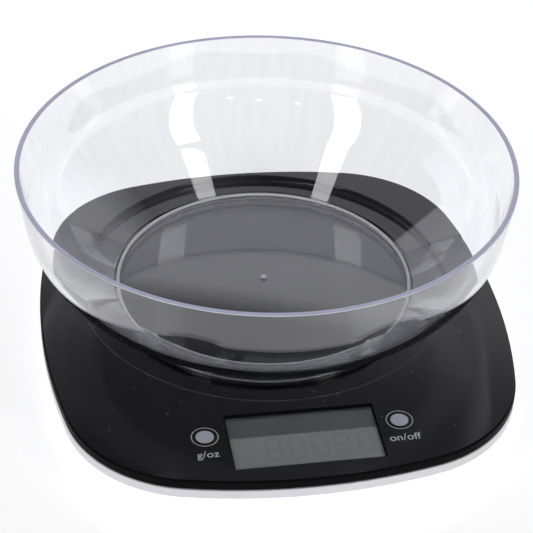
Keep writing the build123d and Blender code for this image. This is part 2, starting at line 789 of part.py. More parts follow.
# ---------------------------------------------------------------- battery bay
# Door that turns on two pins at its front edge, with grip ribs at its rear edge.
with BuildPart() as battery_door:
    with BuildSketch(Plane.YZ.offset(-door_half_length)):
        with BuildLine():
            knuckle = (door_front_y + door_thickness / 2, door_pin_z)
            top = (knuckle[0], door_top_z)
            bottom = (knuckle[0], foot_height)
            ThreePointArc(top, (door_front_y, door_pin_z), bottom)
            Polyline(bottom, (door_back_y, foot_height), (door_back_y, door_top_z), top)
        make_face()
    extrude(amount=2 * door_half_length)
    with BuildSketch(Plane.YZ.offset(-door_half_length - door_pin_length)):
        with Locations(knuckle):
            Circle(door_pin_radius)
    extrude(amount=2 * (door_half_length + door_pin_length))
    with BuildSketch(Plane.XY.offset(foot_height)):
        rib_y = door_back_y - grip_reach - grip_rib_pitch * (grip_rib_count - 1) / 2
        with Locations((0, rib_y)):
            with GridLocations(0, grip_rib_pitch, 1, grip_rib_count):
                SlotOverall(2 * grip_radius, grip_rib_width)
    extrude(amount=-grip_rib_height)
finish(battery_door, "battery_door")

# Two cells side by side, facing opposite ways. The front one has its positive end at -X.
for facing, row_y, name in ((-1, battery_rows[0], "front"), (1, battery_rows[1], "rear")):
    nub_x = facing * contact_x
    with BuildPart() as battery:
        with BuildSketch(Plane.YZ.offset(nub_x)):
            with Locations((row_y, battery_z)):
                Circle(battery_nub_radius)
        extrude(amount=-facing * battery_nub_height)
        with BuildSketch(Plane.YZ.offset(nub_x - facing * battery_nub_height)):
            with Locations((row_y, battery_z)):
                Circle(battery_radius)
        extrude(amount=-facing * (battery_length - battery_nub_height))
        ends = battery.edges().filter_by(GeomType.CIRCLE)
        ends = ends.filter_by(lambda e: abs(e.radius - battery_radius) < battery_edge_round / 10)
        fillet(ends, radius=battery_edge_round)
    finish(battery, f"battery_{name}")

    spring_plate_x = -facing * contact_x
    spring_reach = spring_length - 2 * spring_wire
    spring_start = (spring_plate_x + facing * spring_wire, row_y, battery_z)
    lean = (spring_tip_radius - spring_radius) / spring_reach
    with BuildPart() as spring:
        with BuildLine() as coil:
            Helix(
                spring_reach / spring_turns,
                spring_reach,
                spring_radius,
                center=spring_start,
                direction=(facing, 0, 0),
                cone_angle=Vector(1, 0, 0).get_angle(Vector(1, lean, 0)) * (-1 if lean < 0 else 1),
            )
        with BuildSketch(Plane(origin=coil.line @ 0, z_dir=coil.line % 0)):
            Circle(spring_wire)
        sweep(path=coil.line, is_frenet=True)
    finish(spring, f"battery_spring_{name}")

# Nickelled contacts: one joins the two cells at +X, and two at -X have tabs for the leads.
with BuildPart() as contact_bridge:
    with BuildSketch(Plane.YZ.offset(contact_x)):
        with Locations((bay_y, battery_z)):
            Rectangle(2 * battery_spread + contact_width, contact_height)
    extrude(amount=contact_thickness)
finish(contact_bridge, "contact_bridge")

tab_length = bay_wall + contact_thickness + contact_tab_reach
for row_y, name in zip(battery_rows, ("positive", "negative")):
    with BuildPart() as contact:
        with BuildSketch(Plane.YZ.offset(-contact_x - contact_thickness)):
            with Locations((row_y, battery_z)):
                Rectangle(contact_width, contact_height)
        extrude(amount=contact_thickness)
        with BuildSketch(Plane.YZ.offset(-contact_x)):
            with Locations((row_y, tab_z)):
                Rectangle(contact_tab_width, contact_thickness)
        extrude(amount=-tab_length)
    finish(contact, f"contact_{name}")

# ---------------------------------------------------------------- leads
# Battery leads run from the contact tabs along the base's floor and up to the board.
lead_floor_z = floor_z + lead_radius + lead_lift
lead_end_y = board_back_y - lead_board_inset
tab_end_x = contact_x + tab_length
for lane, (row_y, name) in enumerate(zip(battery_rows, ("positive", "negative"))):
    lead_x = -lead_first_x - lane * lead_lane
    turn_y = row_y - 2 * lead_bend
    route = [
        (-tab_end_x, row_y, tab_z),
        (lead_x, row_y, tab_z),
        (lead_x, turn_y, tab_z),
        (lead_x, turn_y - (tab_z - lead_floor_z), lead_floor_z),
        (lead_x, lead_end_y, lead_floor_z),
        (lead_x, lead_end_y, board_under_z),
    ]
    first_bend = (lead_first_x - tab_end_x) * 0.9
    with BuildPart() as lead:
        with BuildLine() as lead_path:
            FilletPolyline(*route, radius=[first_bend] + [lead_bend] * (len(route) - 3))
        with BuildSketch(Plane(origin=lead_path.line @ 0, z_dir=lead_path.line % 0)):
            Circle(lead_radius)
        sweep(path=lead_path.line)
    finish(lead, f"battery_lead_{name}")

# Four thin leads from the gauges to the board.
signal_floor_z = floor_z + signal_lead_radius + lead_lift
cell_face_y = bowl_y - cell_width / 2
signal_turn_y = cell_face_y - 2 * lead_bend
with BuildPart() as cell_leads:
    for n in range(signal_lead_count):
        wire_x = (n - (signal_lead_count - 1) / 2) * signal_lead_pitch
        with BuildLine() as wire_path:
            FilletPolyline(
                (wire_x, cell_face_y, cell_mid_z + cell_bore_radius),
                (wire_x, signal_turn_y, cell_mid_z + cell_bore_radius),
                (wire_x, signal_turn_y, signal_floor_z),
                (wire_x, lead_end_y, signal_floor_z),
                (wire_x, lead_end_y, board_under_z),
                radius=lead_bend,
            )
        with BuildSketch(Plane(origin=wire_path.line @ 0, z_dir=wire_path.line % 0)):
            Circle(signal_lead_radius)
        sweep(path=wire_path.line)
finish(cell_leads, "cell_leads")
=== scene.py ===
import math

import bmesh
import bpy
from mathutils import Matrix, Vector


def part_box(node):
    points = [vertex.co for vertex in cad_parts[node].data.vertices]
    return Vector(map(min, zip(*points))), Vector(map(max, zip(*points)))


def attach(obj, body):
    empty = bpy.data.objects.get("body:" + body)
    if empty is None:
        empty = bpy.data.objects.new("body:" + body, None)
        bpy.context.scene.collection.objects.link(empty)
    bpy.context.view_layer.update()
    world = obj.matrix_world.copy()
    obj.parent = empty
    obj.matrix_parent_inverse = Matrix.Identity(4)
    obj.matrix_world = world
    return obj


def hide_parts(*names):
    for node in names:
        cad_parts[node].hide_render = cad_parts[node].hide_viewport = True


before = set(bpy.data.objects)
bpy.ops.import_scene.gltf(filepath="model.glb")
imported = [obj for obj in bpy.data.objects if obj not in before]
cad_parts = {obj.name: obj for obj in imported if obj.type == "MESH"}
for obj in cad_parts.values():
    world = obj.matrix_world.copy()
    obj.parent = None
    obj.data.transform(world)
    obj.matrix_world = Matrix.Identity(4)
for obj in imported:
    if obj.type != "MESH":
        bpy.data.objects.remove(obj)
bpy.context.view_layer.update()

# ---------------------------------------------------------------- camera
# A long lens held in front of the scale, a little to the left of its middle and a little askew.
# It looks down over the keys and the display into the bowl.
MM = 0.001
CAMERA_PLACE = Vector((-116.32, -638.27, 522.84)) * MM
CAMERA_TURN = math.radians(10.25)
CAMERA_TILT = math.radians(36.68)
CAMERA_ROLL = math.radians(-1.83)
CAMERA_LENS = 124.9
CAMERA_SENSOR = 36.0

scene = bpy.context.scene
scene.view_settings.view_transform = "Standard"
ahead = Vector((math.sin(CAMERA_TURN) * math.cos(CAMERA_TILT),
                math.cos(CAMERA_TURN) * math.cos(CAMERA_TILT),
                -math.sin(CAMERA_TILT)))
level_right = Vector((math.cos(CAMERA_TURN), -math.sin(CAMERA_TURN), 0))
level_down = ahead.cross(level_right)
right = math.cos(CAMERA_ROLL) * level_right + math.sin(CAMERA_ROLL) * level_down
down = math.cos(CAMERA_ROLL) * level_down - math.sin(CAMERA_ROLL) * level_right
camera = bpy.data.objects.new("camera", bpy.data.cameras.new("camera"))
camera.data.lens = CAMERA_LENS
camera.data.sensor_width = CAMERA_SENSOR
camera.matrix_world = Matrix.Translation(CAMERA_PLACE) @ Matrix((right, -down, -ahead)).transposed().to_4x4()
scene.collection.objects.link(camera)
scene.camera = camera

# ---------------------------------------------------------------- studio
# A smooth pale table that glows a little, as a light table does. Behind it stands a white paper
# backdrop whose upper edge slopes, and the studio round it is dim, a little less so on the right.
TABLE_RADIUS = 6.0
TABLE_SIDES = 64
TABLE_DROP = 0.05 * MM
TABLE_COLOUR = (0.5, 0.5, 0.5, 1)
TABLE_GLOW = 0.70
TABLE_ROUGHNESS = 0.12
PAPER = (1.0, 1.0, 1.08, 1)
PAPER_EDGE = (0.594, 0.606)
PAPER_SLOPE = -0.1
PAPER_SIDES = (0.05, 0.35)
STUDIO_LEFT = (0.09, 0.09, 0.098, 1)
STUDIO_RIGHT = (0.21, 0.21, 0.225, 1)
STUDIO_TURN = (-0.05, 0.30)


def node(tree, kind, links=None, **values):
    """Adds a shader node with its properties, and sets or links its inputs by name."""
    made = tree.nodes.new(kind)
    for name, value in values.items():
        setattr(made, name, value)
    for socket, source in (links or {}).items():
        if isinstance(source, bpy.types.NodeSocket):
            tree.links.new(source, made.inputs[socket])
        else:
            made.inputs[socket].default_value = source
    return made


def spread(tree, value, low, high):
    """Runs from 0 to 1 as a value goes from low to high."""
    return node(tree, "ShaderNodeMapRange", {"Value": value, "From Min": low, "From Max": high}).outputs[0]


def ramp(tree, factor, *stops):
    """A colour ramp over a factor, from (place, colour) stops."""
    made = node(tree, "ShaderNodeValToRGB", {"Fac": factor})
    elements = made.color_ramp.elements
    elements[0].position, elements[1].position = stops[0][0], stops[-1][0]
    for place, colour in stops[1:-1]:
        elements.new(place)
    for place, colour in stops:
        nearest = min(elements, key=lambda element: abs(element.position - place))
        nearest.color = colour if len(colour) == 4 else (*colour, 1)
    return made.outputs["Color"]


def grey(value):
    return (value, value, value, 1)


world = bpy.data.worlds.new("studio")
scene.world = world
world.use_nodes = True
sky = world.node_tree
sky.nodes.clear()
toward = node(sky, "ShaderNodeTexCoord").outputs["Generated"]
axes = node(sky, "ShaderNodeSeparateXYZ", {"Vector": toward})
studio = ramp(sky, spread(sky, axes.outputs["X"], *STUDIO_TURN), (0.0, STUDIO_LEFT), (1.0, STUDIO_RIGHT))
raised = node(sky, "ShaderNodeMath", {0: axes.outputs["X"], 1: PAPER_SLOPE, 2: axes.outputs["Z"]},
              operation="MULTIPLY_ADD").outputs[0]
paper = node(sky, "ShaderNodeMix", {"Factor": spread(sky, raised, *PAPER_EDGE), "A": PAPER, "B": studio},
             data_type="RGBA").outputs["Result"]
backdrop = node(sky, "ShaderNodeMix", {"Factor": spread(sky, axes.outputs["Y"], *PAPER_SIDES), "A": studio,
                                       "B": paper}, data_type="RGBA").outputs["Result"]
glow = node(sky, "ShaderNodeBackground", {"Color": backdrop, "Strength": 1.0})
node(sky, "ShaderNodeOutputWorld", {"Surface": glow.outputs["Background"]})

table_mesh = bpy.data.meshes.new("table")
form = bmesh.new()
bmesh.ops.create_circle(form, cap_ends=True, radius=TABLE_RADIUS, segments=TABLE_SIDES,
                        matrix=Matrix.Translation((0, 0, -TABLE_DROP)))
form.to_mesh(table_mesh)
form.free()
table = bpy.data.objects.new("table", table_mesh)
scene.collection.objects.link(table)
paint = bpy.data.materials.new("table")
paint.use_nodes = True
shader = paint.node_tree.nodes["Principled BSDF"]
shader.inputs["Base Color"].default_value = TABLE_COLOUR
shader.inputs["Roughness"].default_value = TABLE_ROUGHNESS
shader.inputs["Emission Color"].default_value = grey(1.0)
shader.inputs["Emission Strength"].default_value = TABLE_GLOW
table_mesh.materials.append(paint)

# ---------------------------------------------------------------- windows and lamps
# Two tall soft windows lean in over the front of the scale, each split by a bar across it, and
# three small lamps hang between them. They are what shines in the bowl.
WINDOW_GLOW = 3.6
WINDOW_BAR = 0.035
RIGHT_WINDOW = (Vector((1.3, -2.25, 0.1)), Vector((1.3, -0.80, 3.0)))
RIGHT_WIDTH = 0.48
RIGHT_BAR = 0.40
LEFT_WINDOW = (Vector((-1.7, -1.62, 0.1)), Vector((-1.7, -0.45, 3.9)))
LEFT_WIDTH = 0.55
LEFT_BAR = 0.33
LAMP_GLOW = 12.0
LAMP_DISTANCE = 2.6
LAMP_HEIGHT = 0.07
LAMP_WIDTH = 0.112
LAMPS = ((9, 18), (-5, 23), (-25, 25))


def light_pane(name, low, high, width, glow):
    """A pane of light from its lower to its upper end, facing the scale."""
    light = bpy.data.lights.new(name, "AREA")
    light.shape = "RECTANGLE"
    light.size, light.size_y = width, (high - low).length
    light.energy = glow * math.pi * light.size * light.size_y
    made = bpy.data.objects.new(name, light)
    made.location = (low + high) / 2
    upward = (high - low).normalized()
    facing = (made.location - made.location.dot(upward) * upward).normalized()
    made.rotation_mode = "QUATERNION"
    made.rotation_quaternion = Matrix((upward.cross(facing), upward, facing)).transposed().to_quaternion()
    scene.collection.objects.link(made)


for name, (low, high), width, bar in (("right_window", RIGHT_WINDOW, RIGHT_WIDTH, RIGHT_BAR),
                                      ("left_window", LEFT_WINDOW, LEFT_WIDTH, LEFT_BAR)):
    split = low.lerp(high, bar)
    half_bar = (high - low).normalized() * WINDOW_BAR / 2
    light_pane(f"{name}_low", low, split - half_bar, width, WINDOW_GLOW)
    light_pane(f"{name}_high", split + half_bar, high, width, WINDOW_GLOW)
for count, (azimuth, elevation) in enumerate(LAMPS):
    turn, rise = math.radians(azimuth), math.radians(elevation)
    way = Vector((math.sin(turn) * math.cos(rise), -math.cos(turn) * math.cos(rise), math.sin(rise)))
    half_height = Vector((0, 0, LAMP_HEIGHT / 2))
    light_pane(f"lamp_{count}", LAMP_DISTANCE * way - half_height, LAMP_DISTANCE * way + half_height,
               LAMP_WIDTH, LAMP_GLOW)

# ---------------------------------------------------------------- base and battery door
# White tray with its battery door, both injection moulded in satin styrene. The mould leaves a very
# fine grain, and the white varies a little over the piece. The door turns on two moulded pins.
BASE_WHITE = (0.82, 0.82, 0.86)
BASE_SHADE = (0.77, 0.77, 0.81)
BASE_PATCHES = 18.0
BASE_SATIN = (0.36, 0.48)
BASE_SATIN_PATCHES = 60.0
BASE_GRAIN = 1400.0
BASE_GRAIN_DEPTH = 0.05 * MM
STYRENE_INDEX = 1.55


def finish_material(name):
    """A new material with its node tree, its shader and object-space coordinates in metres."""
    made = bpy.data.materials.new(name)
    made.use_nodes = True
    tree = made.node_tree
    return made, tree, tree.nodes["Principled BSDF"], node(tree, "ShaderNodeTexCoord").outputs["Object"]


def noise(tree, place, scale, detail=3.0):
    """Plain noise over the piece, `scale` cycles to the metre."""
    made = node(tree, "ShaderNodeTexNoise",
                {"Vector": place, "Scale": scale, "Detail": detail, "Roughness": 0.5})
    return made.outputs["Fac"]


def varied(tree, factor, low, high):
    """Goes from one colour or grey level to another over the middle of a noise."""
    low, high = (grey(level) if isinstance(level, float) else level for level in (low, high))
    return ramp(tree, factor, (0.3, low), (0.7, high))


def bump(tree, shader, height, strength, distance):
    """Feeds a height into the shader's normal."""
    made = node(tree, "ShaderNodeBump", {"Height": height, "Strength": strength, "Distance": distance})
    tree.links.new(made.outputs["Normal"], shader.inputs["Normal"])


def feed(tree, shader, **sockets):
    """Sets or links a shader's sockets, whose names are written with underscores."""
    for name, source in sockets.items():
        socket = shader.inputs[name.replace("_", " ")]
        if isinstance(source, bpy.types.NodeSocket):
            tree.links.new(source, socket)
        else:
            socket.default_value = source


def dress(material, *nodes):
    """Gives CAD nodes their finish."""
    for name in nodes:
        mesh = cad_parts[name].data
        mesh.materials.clear()
        mesh.materials.append(material)


white_moulding, tree, shader, place = finish_material("white_moulding")
feed(tree, shader, IOR=STYRENE_INDEX,
     Base_Color=ramp(tree, noise(tree, place, BASE_PATCHES), (0.35, BASE_SHADE), (0.65, BASE_WHITE)),
     Roughness=varied(tree, noise(tree, place, BASE_SATIN_PATCHES), *BASE_SATIN))
bump(tree, shader, noise(tree, place, BASE_GRAIN, 2.0), 0.12, BASE_GRAIN_DEPTH)
dress(white_moulding, "base_shell", "battery_door")

# ---------------------------------------------------------------- feet
# Four soft grey rubber discs with a rounded edge, punched out and glued into pockets in the base.
# Fine dust sits in the grain of the rubber.
RUBBER_DARK = (0.30, 0.30, 0.31)
RUBBER_DUSTY = (0.40, 0.40, 0.41)
RUBBER_DUST = 350.0
RUBBER_GRAIN = 2500.0
RUBBER_GRAIN_DEPTH = 0.05 * MM

rubber, tree, shader, place = finish_material("foot_rubber")
feed(tree, shader, Roughness=0.8, IOR=1.5,
     Base_Color=ramp(tree, noise(tree, place, RUBBER_DUST, 5.0), (0.35, RUBBER_DARK), (0.7, RUBBER_DUSTY)))
bump(tree, shader, noise(tree, place, RUBBER_GRAIN, 2.0), 0.3, RUBBER_GRAIN_DEPTH)
dress(rubber, "foot_front_left", "foot_front_right", "foot_rear_left", "foot_rear_right")

# ---------------------------------------------------------------- load cell, carrier and screws
# A milled aluminium beam with white silicone over its gauges, screwed to the base at one end. A
# stamped steel carrier sits on a shim at its other end. All the screws are zinc plated.
ALUMINIUM = ((0.68, 0.69, 0.70), (0.80, 0.81, 0.82))
STEEL = ((0.50, 0.51, 0.52), (0.62, 0.63, 0.64))
ZINC = ((0.62, 0.63, 0.66), (0.76, 0.77, 0.79))
METAL_LINE_DEPTH = 0.02 * MM
SILICONE = ((0.78, 0.78, 0.74), (0.86, 0.86, 0.83))
SILICONE_COLOUR_PATCHES = 200.0
SILICONE_LUMPS = 250.0
SILICONE_LUMP_DEPTH = 0.2 * MM


def metal(name, colours, roughness, stretch, scale):
    """A bare metal with fine lines along one way, from stretched noise."""
    made, tree, shader, place = finish_material(name)
    lines = node(tree, "ShaderNodeMapping", {"Vector": place, "Scale": stretch}).outputs["Vector"]
    grain = noise(tree, lines, scale, 4.0)
    feed(tree, shader, Base_Color=varied(tree, grain, *colours), Metallic=1.0,
         Roughness=varied(tree, grain, roughness, roughness + 0.12))
    bump(tree, shader, grain, 0.15, METAL_LINE_DEPTH)
    return made


dress(metal("milled_aluminium", ALUMINIUM, 0.28, (1, 12, 1), 600.0), "load_cell", "board_capacitor")
dress(metal("stamped_steel", STEEL, 0.3, (8, 1, 1), 400.0), "carrier_plate", "cell_spacer")
dress(metal("zinc_plate", ZINC, 0.2, (1, 1, 10), 900.0),
      "carrier_screws", "cell_top_screws", "cell_base_screws", "board_screws")

silicone, tree, shader, place = finish_material("white_silicone")
feed(tree, shader, Base_Color=varied(tree, noise(tree, place, SILICONE_COLOUR_PATCHES), *SILICONE),
     Roughness=0.45)
bump(tree, shader, noise(tree, place, SILICONE_LUMPS), 0.4, SILICONE_LUMP_DEPTH)
dress(silicone, "gauge_coating")

# ---------------------------------------------------------------- batteries and contacts
# Two AAA cells in plain printed sleeves, black with a copper end. They sit between coil springs
# and bent contact plates of nickelled steel, which are pushed into slots in the bay.
NICKEL = ((0.60, 0.58, 0.54), (0.74, 0.72, 0.68))
SLEEVE_BLACK = (0.03, 0.03, 0.035)
SLEEVE_COPPER = (0.45, 0.30, 0.12)
SLEEVE_HALF_LENGTH = 22 * MM
SLEEVE_SPLIT = (0.28, 0.30)
SLEEVE_SCUFFS = 300.0

dress(metal("nickel", NICKEL, 0.18, (1, 1, 6), 900.0),
      "battery_spring_front", "battery_spring_rear", "contact_bridge", "contact_positive", "contact_negative")

sleeve, tree, shader, place = finish_material("battery_sleeve")
along = node(tree, "ShaderNodeSeparateXYZ", {"Vector": place}).outputs["X"]
feed(tree, shader, Metallic=0.6,
     Base_Color=ramp(tree, spread(tree, along, -SLEEVE_HALF_LENGTH, SLEEVE_HALF_LENGTH),
                     (SLEEVE_SPLIT[0], SLEEVE_BLACK), (SLEEVE_SPLIT[1], SLEEVE_COPPER)),
     Roughness=varied(tree, noise(tree, place, SLEEVE_SCUFFS), 0.25, 0.4))
dress(sleeve, "battery_front", "battery_rear")

# ---------------------------------------------------------------- leads
# Thin stranded wires in soft PVC sleeves, soldered at both ends: red and black from the cells to
# the board, and four white ones from the gauges.
SLEEVE_PATCHES = 150.0

for name, low, high, lead in (
    ("red_sleeve", (0.42, 0.02, 0.02), (0.55, 0.03, 0.03), "battery_lead_positive"),
    ("black_sleeve", (0.015, 0.015, 0.015), (0.03, 0.03, 0.03), "battery_lead_negative"),
    ("white_sleeve", (0.70, 0.70, 0.68), (0.80, 0.80, 0.78), "cell_leads"),
):
    made, tree, shader, place = finish_material(name)
    feed(tree, shader, Base_Color=varied(tree, noise(tree, place, SLEEVE_PATCHES), low, high), Roughness=0.35)
    dress(made, lead)

# ---------------------------------------------------------------- circuit board and its parts
# Glass laminate under a green solder mask, with faint raised copper tracks. The controller's blob,
# the amplifier and the two click switches are black resin and moulding, soldered to the board.
MASK_GREEN = (0.01, 0.10, 0.035)
TRACK_GREEN = (0.03, 0.22, 0.08)
TRACK_SPACING = 220.0
TRACK_WIDTH = 0.012
TRACK_DEPTH = 0.03 * MM
RESIN_BLACK = (0.012, 0.03)
RESIN_PATCHES = 800.0
RESIN_GRAIN = 3000.0
RESIN_GRAIN_DEPTH = 0.03 * MM

board, tree, shader, place = finish_material("board_mask")
tracks = node(tree, "ShaderNodeTexBrick",
              {"Vector": place, "Scale": TRACK_SPACING, "Mortar Size": TRACK_WIDTH, "Color1": grey(0.0),
               "Color2": grey(0.15), "Mortar": grey(1.0)}).outputs["Color"]
feed(tree, shader, Base_Color=ramp(tree, tracks, (0.1, MASK_GREEN), (0.9, TRACK_GREEN)), Roughness=0.32)
bump(tree, shader, tracks, 0.3, TRACK_DEPTH)
dress(board, "circuit_board")

resin, tree, shader, place = finish_material("black_resin")
feed(tree, shader, Base_Color=varied(tree, noise(tree, place, RESIN_PATCHES), *RESIN_BLACK), Roughness=0.5)
bump(tree, shader, noise(tree, place, RESIN_GRAIN), 0.2, RESIN_GRAIN_DEPTH)
dress(resin, "chip_cover", "amplifier_chip", "unit_switch", "on_switch", "unit_plunger", "on_plunger")

# ---------------------------------------------------------------- display
# Liquid crystal glass, grey-green, in a white moulded holder; a painted reflection darkens the glass
# along its back edge. It stands on a striped rubber connector, and a clear acrylic lens is glued into
# the cover over it.
HOLDER_WHITE = (0.72, 0.8)
HOLDER_PATCHES = 120.0
STRIPE_GREYS = (0.05, 0.5)
STRIPE_SPACING = 300.0
PANEL_PAINTED_REFLECTION = (0.205, 0.211, 0.218)
PANEL_FRONT = (0.545, 0.57, 0.565)
PANEL_REFLECTION_EDGE = (3.4 * MM, 4.4 * MM)
PANEL_REFLECTION_WANDER = 0.8 * MM
PANEL_REFLECTION_WANDER_PATCHES = 90.0
PANEL_POLISH = (0.2, 0.26)
PANEL_POLISH_PATCHES = 400.0
LENS_CLEAR = (0.97, 0.98, 0.98, 1)
LENS_INDEX = 1.49
LENS_POLISH = (0.02, 0.05)
LENS_POLISH_PATCHES = 90.0

holder, tree, shader, place = finish_material("white_holder")
feed(tree, shader, Base_Color=varied(tree, noise(tree, place, HOLDER_PATCHES), *HOLDER_WHITE), Roughness=0.55)
dress(holder, "lcd_frame")

zebra, tree, shader, place = finish_material("striped_rubber")
stripes = node(tree, "ShaderNodeTexWave", {"Vector": place, "Scale": STRIPE_SPACING}).outputs["Color"]
feed(tree, shader, Roughness=0.7,
     Base_Color=ramp(tree, stripes, (0.4, grey(STRIPE_GREYS[0])), (0.6, grey(STRIPE_GREYS[1]))))
dress(zebra, "zebra_strip")


def panel_with_painted_reflection(name, strength):
    """The liquid crystal's grey-green with a painted reflection darkening it towards its back edge, at
    `strength` of its brightness.
    """
    made, tree, shader, place = finish_material(name)
    low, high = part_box("lcd_panel")
    middle = (low[1] + high[1]) / 2
    level = node(tree, "ShaderNodeSeparateXYZ", {"Vector": place}).outputs["Y"]
    waves = noise(tree, place, PANEL_REFLECTION_WANDER_PATCHES)
    wandering = node(tree, "ShaderNodeMath", {0: waves, 1: PANEL_REFLECTION_WANDER, 2: level},
                     operation="MULTIPLY_ADD").outputs[0]
    # Painted reflection: behind a wavy line near the back edge the glass is painted darker.
    reflection_share = spread(tree, wandering, middle + PANEL_REFLECTION_EDGE[0], middle + PANEL_REFLECTION_EDGE[1])
    front, back = (tuple(strength * part for part in colour) for colour in (PANEL_FRONT, PANEL_PAINTED_REFLECTION))
    feed(tree, shader, Base_Color=ramp(tree, reflection_share, (0.0, front), (1.0, back)), IOR=1.5,
         Roughness=varied(tree, noise(tree, place, PANEL_POLISH_PATCHES), *PANEL_POLISH))
    return made


dress(panel_with_painted_reflection("liquid_crystal_painted_reflection", 1.0), "lcd_panel")

clear_lens, tree, shader, place = finish_material("clear_lens")
feed(tree, shader, Base_Color=LENS_CLEAR, Transmission_Weight=1.0, IOR=LENS_INDEX,
     Roughness=ramp(tree, noise(tree, place, LENS_POLISH_PATCHES),
                    (0.4, grey(LENS_POLISH[0])), (0.7, grey(LENS_POLISH[1]))))
dress(clear_lens, "display_lens")

# ---------------------------------------------------------------- platform cover and keys
# Black moulding with a polished top and bowl seat and a plain satin skirt, screwed to the carrier
# from below. The two keys are of the same black plastic. A few specks of dust lie on them.
COVER_BLACK = (0.0035, 0.0035, 0.0040)
COVER_RIPPLES = 900.0
COVER_RIPPLE_DEPTH = 0.02 * MM
DUST_PALE = (0.30, 0.30, 0.31)
SPECK_SPACING = 55.0
SPECK_SIZE = 0.022
DUST_PATCHES = 22.0
SKIRT_TOP = 23.95 * MM
POLISH_START = 23.99 * MM
SEAT_RADIUS = 84.0 * MM
POLISH_ROUGHNESS = 0.12

black, tree, shader, place = finish_material("black_gloss")
height = node(tree, "ShaderNodeSeparateXYZ", {"Vector": place}).outputs["Z"]
low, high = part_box("bowl")
seat_middle = ((low[0] + high[0]) / 2, (low[1] + high[1]) / 2, 0)
from_seat = node(tree, "ShaderNodeVectorMath", {0: place, 1: seat_middle}, operation="SUBTRACT").outputs[0]
flat_way = node(tree, "ShaderNodeVectorMath", {0: from_seat, 1: (1, 1, 0)}, operation="MULTIPLY").outputs[0]
away = node(tree, "ShaderNodeVectorMath", {0: flat_way}, operation="LENGTH").outputs["Value"]
in_seat = node(tree, "ShaderNodeMath", {0: away, 1: SEAT_RADIUS}, operation="LESS_THAN").outputs[0]
polished = node(tree, "ShaderNodeMath", {0: spread(tree, height, SKIRT_TOP, POLISH_START), 1: in_seat},
                operation="MAXIMUM").outputs[0]
specks = node(tree, "ShaderNodeTexVoronoi", {"Vector": place, "Scale": SPECK_SPACING},
              voronoi_dimensions="2D").outputs["Distance"]
dust = ramp(tree, specks, (0.0, grey(1.0)), (SPECK_SIZE, grey(0.0)))
patchy = ramp(tree, noise(tree, place, DUST_PATCHES), (0.5, grey(0.0)), (0.6, grey(1.0)))
settled = node(tree, "ShaderNodeMath", {0: patchy, 1: polished}, operation="MULTIPLY").outputs[0]
dusty = node(tree, "ShaderNodeMath", {0: dust, 1: settled}, operation="MULTIPLY").outputs[0]
feed(tree, shader, Base_Color=ramp(tree, dusty, (0.0, COVER_BLACK), (1.0, DUST_PALE)), IOR=1.5,
     Roughness=0.45, Specular_IOR_Level=0.03, Coat_Weight=polished,
     Coat_Roughness=POLISH_ROUGHNESS, Coat_IOR=1.5)
bump(tree, shader, noise(tree, place, COVER_RIPPLES, 2.0), 0.02, COVER_RIPPLE_DEPTH)
dress(black, "platform_cover", "unit_button", "on_button")

# ---------------------------------------------------------------- printing on the cover and keys
# A thin pale ring round each key and a short word below it, screen printed on the cover, and a
# grey dot on the key itself. The ink is a film a few hundredths of a millimetre thick.
INK_GREY = (0.45, 0.47, 0.52)
INK_PALE = (0.60, 0.62, 0.66)
INK_UNEVENNESS = 1.12
INK_PATCHES = 900.0
INK_FILM = 0.02 * MM
RING_OUTER = 5.55 * MM
RING_INNER = 5.28 * MM
RING_SIDES = 96
DOT_RADIUS = 3.7 * MM
WORD_HEIGHT = 5.4 * MM
WORD_DROP = 12.2 * MM


def thin_piece(name, form, material, body):
    """Turns a bmesh into a thin piece that rides on the platform or a key."""
    mesh = bpy.data.meshes.new(name)
    form.to_mesh(mesh)
    form.free()
    made = bpy.data.objects.new(name, mesh)
    scene.collection.objects.link(made)
    mesh.materials.append(material)
    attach(made, body)
    return made


def washer(centre, outer, inner, low, high):
    """A flat ring, or a disc where inner is 0, as a closed bmesh."""
    form = bmesh.new()
    turns = [2 * math.pi * step / RING_SIDES for step in range(RING_SIDES)]

    def loop(radius, level):
        return [form.verts.new((centre[0] + radius * math.cos(turn), centre[1] + radius * math.sin(turn),
                                level)) for turn in turns]

    edges = [loop(outer, low), loop(outer, high)]
    if inner:
        edges += [loop(inner, high), loop(inner, low)]
        edges.append(edges[0])
    for here, there in zip(edges, edges[1:]):
        for step in range(RING_SIDES):
            after = (step + 1) % RING_SIDES
            form.faces.new((here[step], here[after], there[after], there[step]))
    if not inner:
        form.faces.new(edges[1])
        form.faces.new(list(reversed(edges[0])))
    return form


inks = []
for name, colour, roughness in (("grey_ink", INK_GREY, 0.35), ("pale_ink", INK_PALE, 0.4)):
    ink, tree, shader, place = finish_material(name)
    brighter = tuple(INK_UNEVENNESS * part for part in colour)
    feed(tree, shader, Base_Color=varied(tree, noise(tree, place, INK_PATCHES), colour, brighter),
         Roughness=roughness, IOR=1.5)
    inks.append(ink)
grey_ink, pale_ink = inks

for key, body, word in (("unit_button", "unit_key", "g/oz"), ("on_button", "on_key", "on/off")):
    low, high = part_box(key)
    centre = ((low[0] + high[0]) / 2, (low[1] + high[1]) / 2)
    top = high[2]
    thin_piece(f"{body}_ring", washer(centre, RING_OUTER, RING_INNER, top, top + INK_FILM),
               pale_ink, "platform")
    thin_piece(f"{body}_dot", washer(centre, DOT_RADIUS, 0, top, top + INK_FILM),
               grey_ink, body)
    letters = bpy.data.curves.new(f"{body}_word", "FONT")
    letters.body = word
    letters.size = WORD_HEIGHT
    letters.align_x = "CENTER"
    letters.extrude = INK_FILM / 2
    typed = bpy.data.objects.new(f"{body}_type", letters)
    outline = bpy.data.meshes.new_from_object(typed)
    bpy.data.objects.remove(typed)
    outline.transform(Matrix.Translation((centre[0], centre[1] - WORD_DROP, top + INK_FILM / 2)))
    outline.materials.clear()
    outline.materials.append(pale_ink)
    legend = bpy.data.objects.new(f"{body}_word", outline)
    scene.collection.objects.link(legend)
    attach(legend, "platform")

